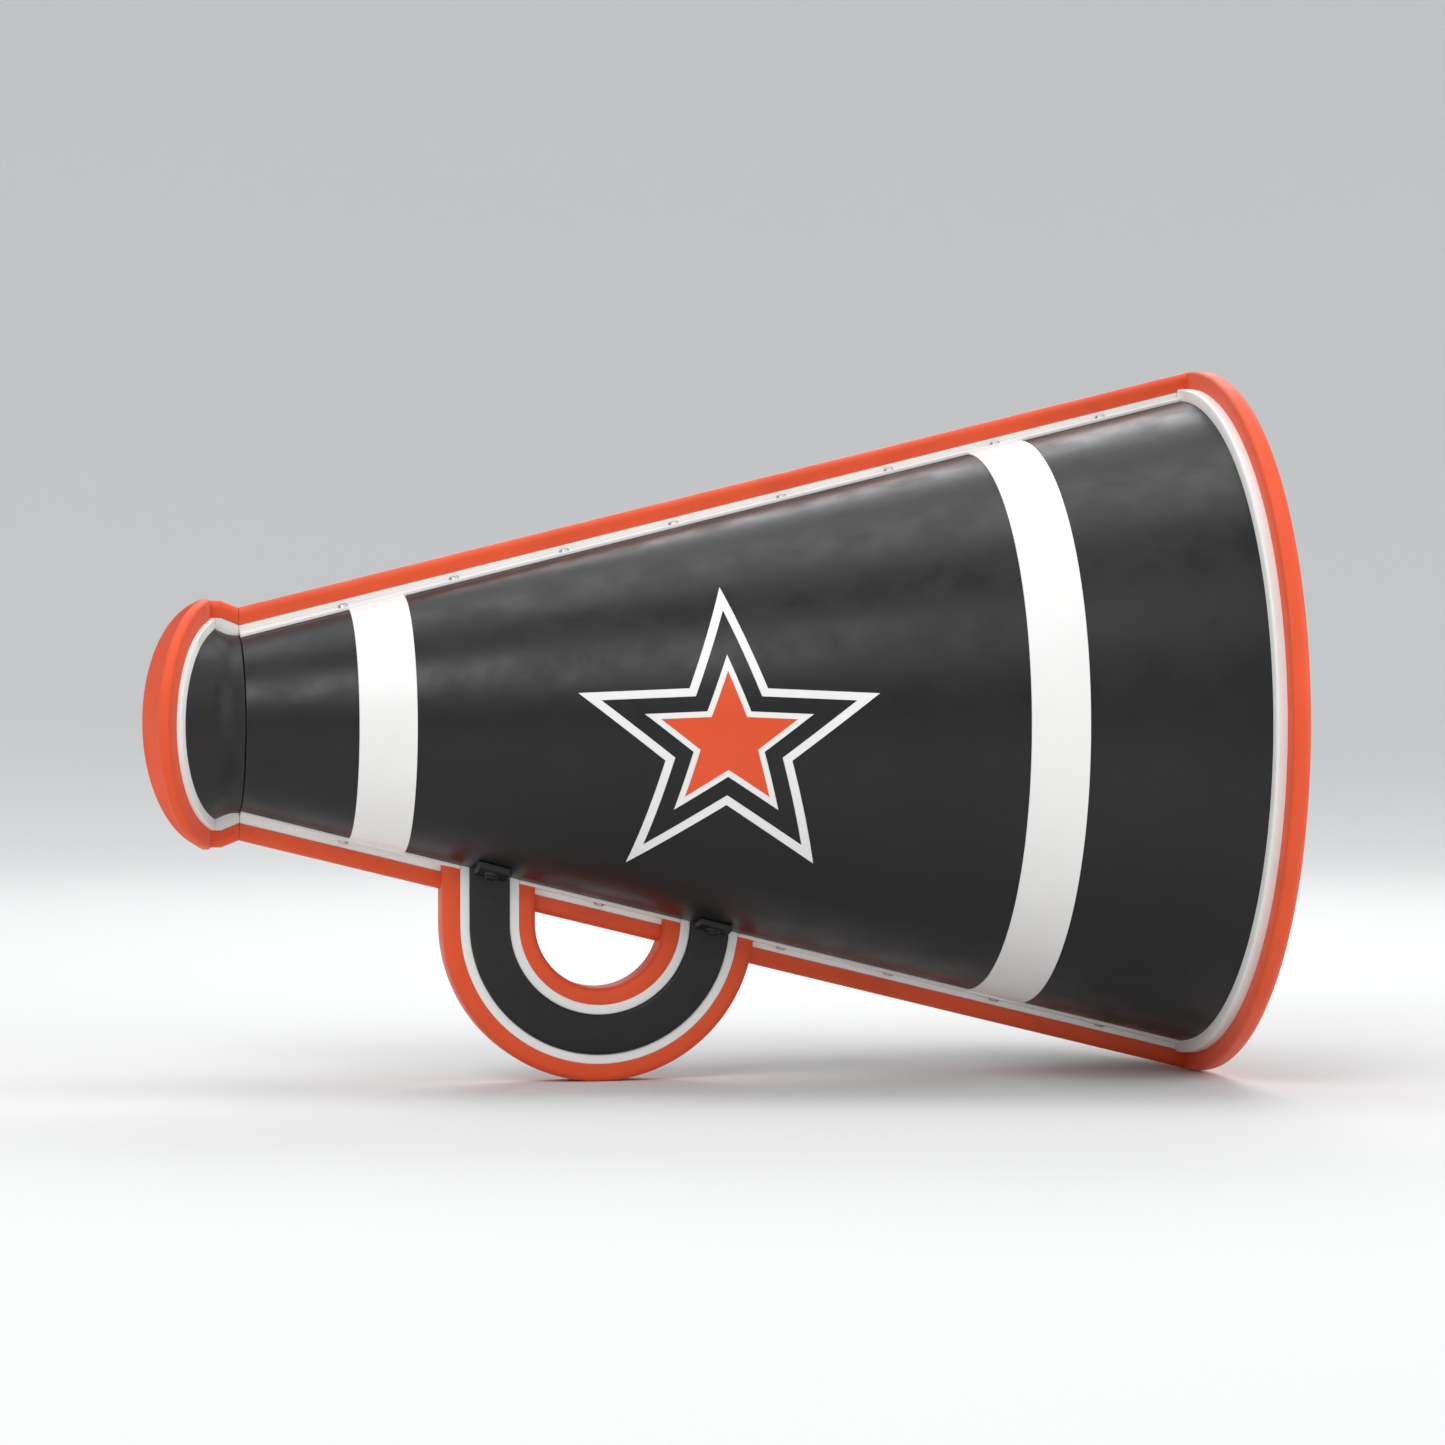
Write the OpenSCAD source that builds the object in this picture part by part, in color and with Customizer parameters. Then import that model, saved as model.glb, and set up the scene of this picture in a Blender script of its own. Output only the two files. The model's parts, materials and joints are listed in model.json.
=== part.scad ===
// Cheer megaphone: two half-cone shells joined along the top and bottom seams,
// a bumper ring round the bell, a push-fit mouthpiece and a bolted loop handle.
// Built with the horn's axis along X. The mouthpiece points to -X, the bell to +X and the handle down.
// The finished part lies on the floor (z = 0), on its bell ring and on the foot of its handle.

/* [Horn] */
// Overall length, from the tips of the lip to the face of the bell ring
overall_l = 610; // [570:1:740]
// Outer diameter of the shells at the bell edge
bell_d = 377.2; // [300:0.2:460]
// Outer diameter of the shells at the neck
neck_d = 99.4; // [94:0.2:122]
// Thickness of the shell sheet
sheet_t = 2.5; // [1.6:0.1:4]
// Distance from the tips of the lip back to the neck edge of the shells
neck_x = 50; // [46:1:64]

/* [Edge trim] */
// Height of the white keyline above the shells
keyline_h = 5.5; // [3:0.1:8]
// Height of the orange trim above the keyline
trim_h = 10; // [7:0.1:14]
// Width of the orange trim along the seams
trim_w = 9; // [7:0.5:14]
// Half width of the white flange that covers each seam
flange_half_w = 13; // [12:0.5:18]
// Thickness of that flange
flange_t = 2; // [1.2:0.1:3]

/* [Bell ring] */
// Length of the orange ring along the horn
ring_l = 11; // [8:0.5:16]
// Length of the white ring behind it
bell_keyline_l = 6; // [4:0.5:9]
// Length of the stiffening hoop inside the bell
hoop_l = 34; // [20:1:50]

/* [Bands] */
// Width of the two white bands
band_w = 31; // [20:1:40]
// Distance from the tips of the lip to the middle of the rear band
rear_band_x = 126; // [112:1:134]
// Distance from the face of the bell ring back to the middle of the front band
front_band_back = 128; // [70:1:150]
// Thickness of the bands and of the emblems
band_t = 0.8; // [0.5:0.1:1.5]

/* [Emblem] */
// Radius of the star, from its middle to a point
star_r = 84; // [60:1:96]
// Distance of the star's middle in front of the point midway between the bands
star_forward = 3; // [-20:1:20]

/* [Handle] */
// Distance from the tips of the lip to the middle of the handle
handle_x = 253; // [235:1:275]
// Outer radius of the loop
handle_r = 90; // [74:1:108]
// Thickness of the black core, across the loop
core_t = 22.5; // [16:0.5:30]
// Width of the black core, from side to side
core_w = 28; // [22:1:36]
// Width of the trims on the loop
loop_trim_w = 24; // [18:1:30]

/* [Mouthpiece] */
// Width of the lip all round the flare
lip_w = 16; // [10:0.5:22]
// Height by which the black flare behind the lip stands out past the neck
flare_rise = 4.3; // [2.5:0.1:6]
// Room between the neck's inner face and the bore of its socket
socket_edge = 4.8; // [4.4:0.1:8]
// Length of the spigot
spigot_l = 34; // [26:1:44]
// Angle at which the lip falls back from each cheek towards the middle of the face
face_angle = 25; // [18:1:30]
// Gap all round between the spigot and its socket
spigot_clear = 0.3; // [0.2:0.05:0.5]

/* [Hidden] */
$fn = 120;

// Colours
BLACK = "#252525";
WHITE = "#ededed";
ORANGE = "#e45b32";
STEEL = "#b9bcc0";
RUBBER = "#1a1a1a";

// Sides and seams
RIGHT = -1;
LEFT = 1;
TOP = 1;
BOTTOM = -1;

// The cone that the shells follow
bell_edge_gap = 4;
bell_edge_x = overall_l - bell_edge_gap;
slope = (bell_d - neck_d) / 2 / (bell_edge_x - neck_x);
lean = atan(slope);
stretch = 1 / cos(lean);
ring_x = overall_l - ring_l;
bell_keyline_x = ring_x - bell_keyline_l;
keyline_r = cone_r(ring_x) + keyline_h * stretch;
ring_r = keyline_r + trim_h * stretch;
far = 2 * overall_l;

// Bands and emblem
front_band_x = overall_l - front_band_back;
star_x = (rear_band_x + front_band_x) / 2 + star_forward;

// Seams
web_w = 2;
web_gap = 0.2;
spine_w = 8;
tongue_w = 3;
tongue_h = 5;
strip_half_w = 12;
strip_t = 1.5;
strip_start = neck_x + 44;
hoop_t = 2.5;
ring_lip_t = 3;
ring_lip_l = 14;
hoop_end = overall_l - ring_lip_l;
hoop_start = hoop_end - hoop_l;
ring_round = 5;
ring_back_round = 2;

// Room for the curve of the shells under the flat faces of washers and rivet tails
curve_gap = 0.25;

// Rivets
rivet_y = 8.6;
rivet_shank_r = 1.6;
rivet_head_r = 3.2;
rivet_head_h = 1.3;
rivet_tail_r = 2.6;
rivet_tail_h = 1.5;
rivet_grip = sheet_t + strip_t + curve_gap;
rivet_count = 8;
rivet_first = strip_start + 14;
rivet_pitch = (hoop_start - 16 - rivet_first) / (rivet_count - 1);
rivet_xs = [for (i = [0 : rivet_count - 1]) rivet_first + i * rivet_pitch];
rivet_room = 9;

// Handle loop, from the outside in: trim, keyline, core, keyline, trim
loop_z = -(ring_r - handle_r);
outer_keyline_r = handle_r - trim_h;
core_outer_r = outer_keyline_r - keyline_h;
core_inner_r = core_outer_r - core_t;
inner_trim_r = core_inner_r - keyline_h;
hand_r = inner_trim_r - trim_h;
foot_r = (core_outer_r + core_inner_r) / 2;
foot_xs = [handle_x - foot_r, handle_x + foot_r];
ear_half_w = 33;
ear_half_l = core_t / 2 - 2;
ear_t = 3.5;
plate_t = 2;
plate_l = 30;
screw_y = 23;
screw_r = 2;
screw_head_r = 4.2;
screw_head_h = 2.4;
washer_r = 5.5;
washer_t = 1;
nut_r = 4;
nut_h = 3.2;
screw_end = 1.2;
washer_seat = sheet_t + plate_t + curve_gap;
core_round = 2;
loop_trim_round = 4;
edge_round = 0.5;

// Mouthpiece
flare_d = neck_d + 2 * flare_rise;
lip_d = flare_d + 2 * lip_w;
seat_gap = 0.2;
lip_t = 6;
lip_keyline_t = 3;
lip_keyline_r = flare_d / 2 + keyline_h;
lip_sleeve_l = 3;
lip_sleeve_t = 2.5;
mouth_r = flare_d / 2 - 7;
shoulder_x = neck_x - seat_gap;
flare_start = neck_x - 18;
flare_end = neck_x - 3;
socket_r = inner_r(neck_x) - socket_edge;
spigot_r = socket_r - spigot_clear;
spigot_end = neck_x + spigot_l;
spigot_wall = 4;
throat_r = spigot_r - spigot_wall;
seal_x = neck_x + 16;
seal_section_r = 1.2;
seal_clear = 0.05;
groove_depth = 2.2;
groove_l = 3;
socket_wall = 3;
socket_end = spigot_end + 3;
socket_flange_l = 4;
nose_r = 45;
nose_y = nose_r * sin(face_angle);
nose_x = tan(face_angle) * (lip_d / 2 - nose_y) - nose_r * cos(face_angle);
tab_back_r = cone_r(neck_x);
tab_bend_x = nose_x + nose_r + lip_t + 6;

// Emblem
star_inner = 0.42;
star_stroke = 4.5;
star_border_stroke = 3.2;
star_centre_r = 0.56 * star_r;
star_drop = (1 - cos(36)) / 2 * star_r;

function cone_r(x) = neck_d / 2 + slope * (x - neck_x);
function inner_r(x) = cone_r(x) - sheet_t * stretch;
function arc(cx, cy, r, from, to, steps = 6) =
    [for (i = [0 : steps]) let (a = from + (to - from) * i / steps) [cx + r * cos(a), cy + r * sin(a)]];
// A bar from x0 to x1 and from -w/2 to w/2, with its corners rounded by r0 at x0 and r1 at x1
function bar_outline(x0, x1, w, r0, r1) = concat(
    arc(x1 - r1, w / 2 - r1, r1, 0, 90),
    arc(x0 + r0, w / 2 - r0, r0, 90, 180),
    arc(x0 + r0, -w / 2 + r0, r0, 180, 270),
    arc(x1 - r1, -w / 2 + r1, r1, 270, 360)
);
function star_outline(r) =
    [for (i = [0 : 9]) let (a = 90 + 36 * i, d = i % 2 == 0 ? r : star_inner * r) [d * cos(a), d * sin(a)]];
// Distance of a star's edges from its middle, for a point radius of 1
star_edge = star_inner * sin(36) / sqrt(1 + star_inner * star_inner - 2 * star_inner * cos(36));

// Puts the horn's axis at the height of the bell ring's radius, with the middle of its length at x = 0
module placed() {
    translate([-overall_l / 2, 0, ring_r]) children();
}

// Turns an outline of [radius, x] points round the horn's axis
module turned(points) {
    rotate([0, 90, 0]) rotate_extrude() polygon(points);
}

// Solid cone between two stations, raised above the shells by a distance across the sheet
module cone(x0, x1, raise) {
    translate([x0, 0, 0]) rotate([0, 90, 0])
        cylinder(h = x1 - x0, r1 = cone_r(x0) + raise * stretch, r2 = cone_r(x1) + raise * stretch);
}

module cone_layer(x0, x1, low, high) {
    difference() {
        cone(x0, x1, high);
        cone(x0 - 1, x1 + 1, low);
    }
}

// Everything on one side of the middle plane, starting at a distance from it
module beside(side, from) {
    translate([-far / 2, side > 0 ? from : -from - far, -far / 2]) cube(far);
}

// A slab of a given half width on the middle plane, above or below the axis
module seam_slab(half_w, seam) {
    translate([-far / 2, -half_w, seam > 0 ? 0 : -far]) cube([2 * far, 2 * half_w, far]);
}

module between(x0, x1) {
    translate([x0, -far / 2, -far / 2]) cube([x1 - x0, far, far]);
}

// Flat bar along the top ridge of the cone, between two heights above the shells
module ridge_bar(x0, x1, low, high, w) {
    rotate([90, 0, 0]) linear_extrude(w, center = true) polygon([
        [x0, cone_r(x0) + low * stretch],
        [x1, cone_r(x1) + low * stretch],
        [x1, cone_r(x1) + high * stretch],
        [x0, cone_r(x0) + high * stretch]
    ]);
}

// Flips what is built on the top seam over to the bottom one
module on_seam(seam) {
    mirror([0, 0, seam > 0 ? 0 : 1]) children();
}

// Local frame on the top ridge at x, turned round the axis by a distance y: +Z leaves the shell squarely
module on_shell(x, y) {
    rotate([-asin(y / cone_r(x)), 0, 0]) translate([x, 0, cone_r(x)]) rotate([0, -lean, 0]) children();
}

module rivet() {
    translate([0, 0, flange_t]) cylinder(h = rivet_head_h, r1 = rivet_head_r, r2 = rivet_head_r - 0.9, $fn = 32);
    translate([0, 0, -rivet_grip - rivet_tail_h]) cylinder(h = rivet_tail_h, r = rivet_tail_r, $fn = 32);
    translate([0, 0, -rivet_grip]) cylinder(h = rivet_grip + flange_t, r = rivet_shank_r, $fn = 32);
}

// Hole that runs clear past everything that a rivet holds
module rivet_hole() {
    translate([0, 0, -2 * rivet_grip]) cylinder(h = 3 * rivet_grip, r = rivet_shank_r, $fn = 32);
}

module rivet_places(seam, xs) {
    on_seam(seam) for (x = xs) for (side = [RIGHT, LEFT]) on_shell(x, side * rivet_y) children();
}

module rivet_holes() {
    rivet_places(TOP, rivet_xs) rivet_hole();
    rivet_places(BOTTOM, concat(bottom_xs, loop_xs)) rivet_hole();
}

// Stations of the bottom rivets: those clear of the handle, and one in the middle of its loop
bottom_xs = [for (x = rivet_xs) if (abs(x - handle_x) > handle_r + rivet_room) x];
loop_xs = [handle_x];

module handle_screw_places() {
    mirror([0, 0, 1]) for (x = foot_xs) for (side = [RIGHT, LEFT]) on_shell(x, side * screw_y) children();
}

module screw_holes() {
    handle_screw_places() translate([0, 0, -far / 40]) cylinder(h = far / 20, r = screw_r, $fn = 32);
}

// Upright part of the seam joiner, which shows as the keyline
module spine(seam) {
    on_seam(seam) ridge_bar(neck_x, bell_keyline_x, flange_t / 2, keyline_h, spine_w);
}

// Tongue on the spine, which holds the orange trim
module tongue(seam) {
    on_seam(seam) ridge_bar(neck_x, bell_keyline_x, flange_t / 2, keyline_h + tongue_h, tongue_w);
}

// Web between the edges of the two shells, up to a height above them
module web(seam, top) {
    on_seam(seam) ridge_bar(neck_x, bell_keyline_x, web_gap - sheet_t, top, web_w);
}

// Flange, web and spine of a seam joiner along its whole length
module joiner_rail(seam) {
    intersection() {
        cone_layer(neck_x, bell_keyline_x, 0, flange_t);
        seam_slab(flange_half_w, seam);
    }
    web(seam, flange_t / 2);
    spine(seam);
}

// Loop shape of the handle: a half round below its middle with straight legs above, from side to side
module loop_zone(r) {
    translate([handle_x, 0, loop_z]) rotate([90, 0, 0]) cylinder(h = far / 8, r = r, center = true);
    translate([handle_x - r, -far / 16, loop_z]) cube([2 * r, far / 8, -loop_z]);
}

// One ring of the handle, with a rounded section, before it is fitted to the horn
module loop_ring(r0, r1, w, round0, round1) {
    translate([handle_x, 0, loop_z]) {
        rotate([90, 0, 0]) rotate([0, 0, 180]) rotate_extrude(angle = 180)
            polygon(bar_outline(r0, r1, w, round0, round1));
        for (turn = [0, 180]) rotate([0, 0, turn]) linear_extrude(-loop_z)
            polygon(bar_outline(r0, r1, w, round0, round1));
    }
}

// Everything in front of the lip, as seen from above: two cheeks that meet in a rounded middle
module face_side(shift) {
    reach = lip_d;
    edge = nose_x + nose_r * cos(face_angle) - tan(face_angle) * (reach - nose_y);
    translate([shift, 0, -far / 8]) linear_extrude(far / 4) polygon(concat(
        [[edge, -reach]],
        arc(nose_x, 0, nose_r, -face_angle, face_angle, 12),
        [[edge, reach], [edge - far, reach], [edge - far, -reach]]
    ));
}

// ---- Mouthpiece ----

function flare_r(t) = cone_r(neck_x) + (flare_d / 2 - cone_r(neck_x)) * (1 + cos(180 * t)) / 2;
function throat_flare_r(t) = throat_r + (mouth_r - throat_r) * (1 + cos(180 * t)) / 2;
flare_steps = 8;

// The black flare's outer surface, filled to the axis
module flare_solid(front) {
    turned(concat(
        [[0, front], [flare_d / 2, front]],
        [for (i = [0 : flare_steps]) let (t = i / flare_steps)
            [flare_r(t), flare_start + t * (flare_end - flare_start)]],
        [[cone_r(neck_x), shoulder_x], [0, shoulder_x]]
    ));
}

module throat_solid() {
    turned(concat(
        [[0, -far / 8], [mouth_r, -far / 8]],
        [for (i = [0 : flare_steps]) let (t = i / flare_steps)
            [throat_flare_r(t), flare_start - 8 + t * (flare_end - flare_start + 8)]],
        [[throat_r, spigot_end + 1], [0, spigot_end + 1]]
    ));
}

module mouthpiece_body() {
    color(BLACK) placed() difference() {
        union() {
            difference() {
                flare_solid(-1);
                face_side(lip_t + lip_keyline_t);
            }
            difference() {
                translate([-1, 0, 0]) rotate([0, 90, 0])
                    cylinder(h = flare_start, r = mouth_r + lip_sleeve_t);
                face_side(lip_t - lip_sleeve_l);
            }
            translate([shoulder_x - 1, 0, 0]) rotate([0, 90, 0])
                cylinder(h = spigot_end - shoulder_x + 1, r = spigot_r);
        }
        throat_solid();
        translate([seal_x - groove_l / 2, 0, 0]) rotate([0, 90, 0]) difference() {
            cylinder(h = groove_l, r = spigot_r + 1);
            translate([0, 0, -1]) cylinder(h = groove_l + 2, r = spigot_r - groove_depth);
        }
    }
}

// Fin that carries the seam's lines across the flare, between two heights above the black
module tab(low, high, front, w) {
    rotate([90, 0, 0]) linear_extrude(w, center = true) polygon([
        [front, flare_d / 2 + low],
        [tab_bend_x, flare_d / 2 + low],
        [shoulder_x, tab_back_r + low * stretch],
        [shoulder_x, tab_back_r + high * stretch],
        [tab_bend_x, flare_d / 2 + high],
        [front, flare_d / 2 + high]
    ]);
}

module mouthpiece_keyline() {
    color(WHITE) placed() difference() {
        union() {
            intersection() {
                rotate([0, 90, 0]) cylinder(h = neck_x, r = lip_keyline_r);
                face_side(lip_t + lip_keyline_t);
            }
            for (seam = [TOP, BOTTOM]) on_seam(seam)
                tab(-6, keyline_h, nose_x + nose_r + lip_t, spine_w);
        }
        face_side(lip_t);
        translate([-1, 0, 0]) rotate([0, 90, 0]) cylinder(h = neck_x, r = mouth_r + lip_sleeve_t);
        difference() {
            flare_solid(-1);
            face_side(lip_t + lip_keyline_t);
        }
    }
}

module mouthpiece_lip() {
    color(ORANGE) placed() difference() {
        union() {
            intersection() {
                rotate([0, 90, 0]) cylinder(h = neck_x, r = lip_d / 2);
                face_side(lip_t);
            }
            for (seam = [TOP, BOTTOM]) on_seam(seam)
                tab(keyline_h, keyline_h + trim_h, nose_x + nose_r, trim_w);
        }
        face_side(0);
        translate([-1, 0, 0]) rotate([0, 90, 0]) cylinder(h = neck_x, r = mouth_r);
        difference() {
            translate([-1, 0, 0]) rotate([0, 90, 0]) cylinder(h = neck_x, r = mouth_r + lip_sleeve_t);
            face_side(lip_t - lip_sleeve_l);
        }
    }
}

module mouthpiece_seal() {
    color(RUBBER) placed() translate([seal_x, 0, 0]) rotate([0, 90, 0]) rotate_extrude()
        translate([socket_r - seal_clear - seal_section_r, 0]) circle(r = seal_section_r, $fn = 24);
}

// ---- Horn ----

module neck_socket() {
    color(BLACK) placed() turned([
        [socket_r, neck_x],
        [socket_r, socket_end],
        [inner_r(socket_end), socket_end],
        [inner_r(socket_end - socket_flange_l), socket_end - socket_flange_l],
        [socket_r + socket_wall, socket_end - socket_flange_l],
        [socket_r + socket_wall, neck_x + socket_flange_l],
        [inner_r(neck_x + socket_flange_l), neck_x + socket_flange_l],
        [inner_r(neck_x), neck_x]
    ]);
}

module shell(side) {
    color(BLACK) placed() difference() {
        intersection() {
            cone_layer(neck_x, bell_edge_x, -sheet_t, 0);
            beside(side, web_w / 2);
        }
        rivet_holes();
        screw_holes();
    }
}

module bell_keyline_solid() {
    turned([
        [cone_r(bell_keyline_x), bell_keyline_x],
        [keyline_r - 1.5, bell_keyline_x],
        [keyline_r, bell_keyline_x + 1.5],
        [keyline_r, ring_x],
        [cone_r(ring_x), ring_x]
    ]);
}

module bell_keyline() {
    color(WHITE) placed() bell_keyline_solid();
}

module bell_ring() {
    color(ORANGE) placed() turned(concat(
        [[cone_r(ring_x), ring_x]],
        arc(ring_r - ring_back_round, ring_x + ring_back_round, ring_back_round, 270, 360, 4),
        arc(ring_r - ring_round, overall_l - ring_round, ring_round, 0, 90, 6),
        [
            [inner_r(overall_l) - ring_lip_t, overall_l],
            [inner_r(hoop_end) - ring_lip_t, hoop_end],
            [inner_r(hoop_end), hoop_end],
            [inner_r(bell_edge_x), bell_edge_x],
            [cone_r(bell_edge_x), bell_edge_x]
        ]
    ));
}

module bell_hoop() {
    color(BLACK) placed() cone_layer(hoop_start, hoop_end, -sheet_t - hoop_t, -sheet_t);
}

module top_joiner() {
    color(WHITE) placed() difference() {
        union() {
            joiner_rail(TOP);
            tongue(TOP);
        }
        rivet_holes();
    }
}

// The web runs on under the handle's feet, where the flange and the spine make room for them
module bottom_joiner() {
    color(WHITE) placed() difference() {
        union() {
            difference() {
                joiner_rail(BOTTOM);
                difference() {
                    loop_zone(outer_keyline_r);
                    loop_zone(inner_trim_r);
                }
            }
            difference() {
                tongue(BOTTOM);
                difference() {
                    loop_zone(handle_r);
                    loop_zone(hand_r);
                }
            }
            web(BOTTOM, -web_gap / 4);
        }
        rivet_holes();
    }
}

// Orange trim along a whole seam, before it is cut to length
module trim_blank(seam) {
    half_w = trim_w / 2;
    on_seam(seam) difference() {
        intersection() {
            translate([neck_x, 0, cone_r(neck_x)]) rotate([0, -lean, 0]) translate([-far / 8, 0, 0])
                rotate([90, 0, 90]) linear_extrude(far) polygon(concat(
                    [[-half_w, keyline_h], [half_w, keyline_h]],
                    arc(0, keyline_h + trim_h - half_w, half_w, 0, 180, 12)
                ));
            between(neck_x, ring_x);
        }
        tongue(TOP);
        bell_keyline_solid();
    }
}

module top_trim() {
    color(ORANGE) placed() trim_blank(TOP);
}

module bottom_trim_rear() {
    color(ORANGE) placed() difference() {
        trim_blank(BOTTOM);
        loop_zone(handle_r);
        between(handle_x, far);
    }
}

module bottom_trim_front() {
    color(ORANGE) placed() difference() {
        trim_blank(BOTTOM);
        loop_zone(handle_r);
        between(-far, handle_x);
    }
}

module bottom_trim_middle() {
    color(ORANGE) placed() intersection() {
        trim_blank(BOTTOM);
        loop_zone(hand_r);
    }
}

module strip(seam, x0, x1) {
    color(BLACK) placed() difference() {
        intersection() {
            cone_layer(x0, x1, -sheet_t - strip_t, -sheet_t);
            seam_slab(strip_half_w, seam);
        }
        rivet_holes();
    }
}

module top_rivets() {
    color(STEEL) placed() rivet_places(TOP, rivet_xs) rivet();
}

module bottom_rivets() {
    color(STEEL) placed() rivet_places(BOTTOM, concat(bottom_xs, loop_xs)) rivet();
}

// ---- Bands and emblems ----

module band(x, side) {
    color(WHITE) placed() intersection() {
        cone_layer(x - band_w / 2, x + band_w / 2, 0, band_t);
        beside(side, flange_half_w);
    }
}

// A star seen square from the side, laid on the shell, with an optional smaller star cut out of it
module star_layer(side, r, hole_r) {
    intersection() {
        cone_layer(star_x - star_r, star_x + star_r, 0, band_t);
        beside(side, 0);
        translate([star_x, 0, -star_drop]) rotate([90, 0, 0]) linear_extrude(far, center = true) difference() {
            polygon(star_outline(r));
            polygon(star_outline(hole_r));
        }
    }
}

module star_outline_piece(side) {
    color(WHITE) placed() star_layer(side, star_r, star_r - star_stroke / star_edge);
}

module star_border_piece(side) {
    color(WHITE) placed() star_layer(side, star_centre_r, star_centre_r - star_border_stroke / star_edge);
}

module star_centre_piece(side) {
    color(ORANGE) placed() star_layer(side, star_centre_r - star_border_stroke / star_edge, 0.01);
}

// ---- Handle ----

module handle_core() {
    color(BLACK) placed() difference() {
        union() {
            loop_ring(core_inner_r, core_outer_r, core_w, core_round, core_round);
            for (x = foot_xs) intersection() {
                cone(x - ear_half_l, x + ear_half_l, ear_t);
                seam_slab(ear_half_w, BOTTOM);
            }
        }
        cone(neck_x, bell_edge_x, 0);
        screw_holes();
    }
}

module handle_outer_keyline() {
    color(WHITE) placed() difference() {
        loop_ring(core_outer_r, outer_keyline_r, loop_trim_w, edge_round, edge_round);
        cone(neck_x, bell_edge_x, 0);
    }
}

module handle_inner_keyline() {
    color(WHITE) placed() difference() {
        loop_ring(inner_trim_r, core_inner_r, loop_trim_w, edge_round, edge_round);
        cone(neck_x, bell_edge_x, 0);
    }
}

module handle_outer_trim() {
    color(ORANGE) placed() difference() {
        loop_ring(outer_keyline_r, handle_r, loop_trim_w, edge_round, loop_trim_round);
        cone(neck_x, bell_edge_x, flange_t);
        spine(BOTTOM);
    }
}

module handle_inner_trim() {
    color(ORANGE) placed() difference() {
        loop_ring(hand_r, inner_trim_r, loop_trim_w, loop_trim_round, edge_round);
        cone(neck_x, bell_edge_x, flange_t);
        spine(BOTTOM);
    }
}

module handle_plate(x) {
    color(STEEL) placed() difference() {
        intersection() {
            cone_layer(x - plate_l / 2, x + plate_l / 2, -sheet_t - plate_t, -sheet_t);
            seam_slab(ear_half_w, BOTTOM);
        }
        screw_holes();
    }
}

module handle_screws() {
    grip = ear_t + washer_seat + washer_t + nut_h + screw_end;
    color(BLACK) placed() handle_screw_places() {
        translate([0, 0, ear_t]) cylinder(h = screw_head_h, r1 = screw_head_r, r2 = screw_head_r - 1.4, $fn = 40);
        translate([0, 0, ear_t - grip]) cylinder(h = grip, r = screw_r, $fn = 32);
    }
}

module handle_washers() {
    color(STEEL) placed() handle_screw_places()
        translate([0, 0, -washer_seat - washer_t]) difference() {
            cylinder(h = washer_t, r = washer_r, $fn = 40);
            translate([0, 0, -1]) cylinder(h = washer_t + 2, r = screw_r, $fn = 32);
        }
}

module handle_nuts() {
    color(STEEL) placed() handle_screw_places()
        translate([0, 0, -washer_seat - washer_t - nut_h]) difference() {
            cylinder(h = nut_h, r = nut_r, $fn = 6);
            translate([0, 0, -1]) cylinder(h = nut_h + 2, r = screw_r, $fn = 32);
        }
}

mouthpiece_body();
mouthpiece_keyline();
mouthpiece_lip();
mouthpiece_seal();
neck_socket();
shell(RIGHT);  // right_shell
shell(LEFT);  // left_shell
bell_keyline();
bell_ring();
bell_hoop();
top_joiner();
bottom_joiner();
top_trim();
bottom_trim_rear();
bottom_trim_middle();
bottom_trim_front();
strip(TOP, strip_start, hoop_start);  // top_strip
strip(BOTTOM, strip_start, foot_xs[0] - plate_l / 2);  // bottom_strip_rear
strip(BOTTOM, foot_xs[0] + plate_l / 2, foot_xs[1] - plate_l / 2);  // bottom_strip_middle
strip(BOTTOM, foot_xs[1] + plate_l / 2, hoop_start);  // bottom_strip_front
top_rivets();
bottom_rivets();
band(rear_band_x, RIGHT);  // rear_band_right
band(rear_band_x, LEFT);  // rear_band_left
band(front_band_x, RIGHT);  // front_band_right
band(front_band_x, LEFT);  // front_band_left
star_outline_piece(RIGHT);  // right_star_outline
star_border_piece(RIGHT);  // right_star_border
star_centre_piece(RIGHT);  // right_star_centre
star_outline_piece(LEFT);  // left_star_outline
star_border_piece(LEFT);  // left_star_border
star_centre_piece(LEFT);  // left_star_centre
handle_core();
handle_outer_keyline();
handle_inner_keyline();
handle_outer_trim();
handle_inner_trim();
handle_plate(foot_xs[0]);  // handle_plate_rear
handle_plate(foot_xs[1]);  // handle_plate_front
handle_screws();
handle_washers();
handle_nuts();
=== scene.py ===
# %% [markdown]
# # A cheer megaphone, built up from its CAD frame
#
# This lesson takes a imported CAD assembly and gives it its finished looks. The megaphone is a long
# black plastic cone in two halves. A white and orange trim covers each seam, an orange ring protects
# the bell, and a loop handle hangs below. The mouthpiece is a separate push-fit piece at the narrow end.
#
# The CAD model fixes every size and place. Its meshes could be shown as they are, but their edges are
# sharp and catch no light. So the big pieces are made again here, as even quad meshes with rounded
# edges. Small hardware such as rivets and screws is already good enough in the CAD model, so it is
# shown as it is, with new finishes.

# %% Load the frame
import json
import math

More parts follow.
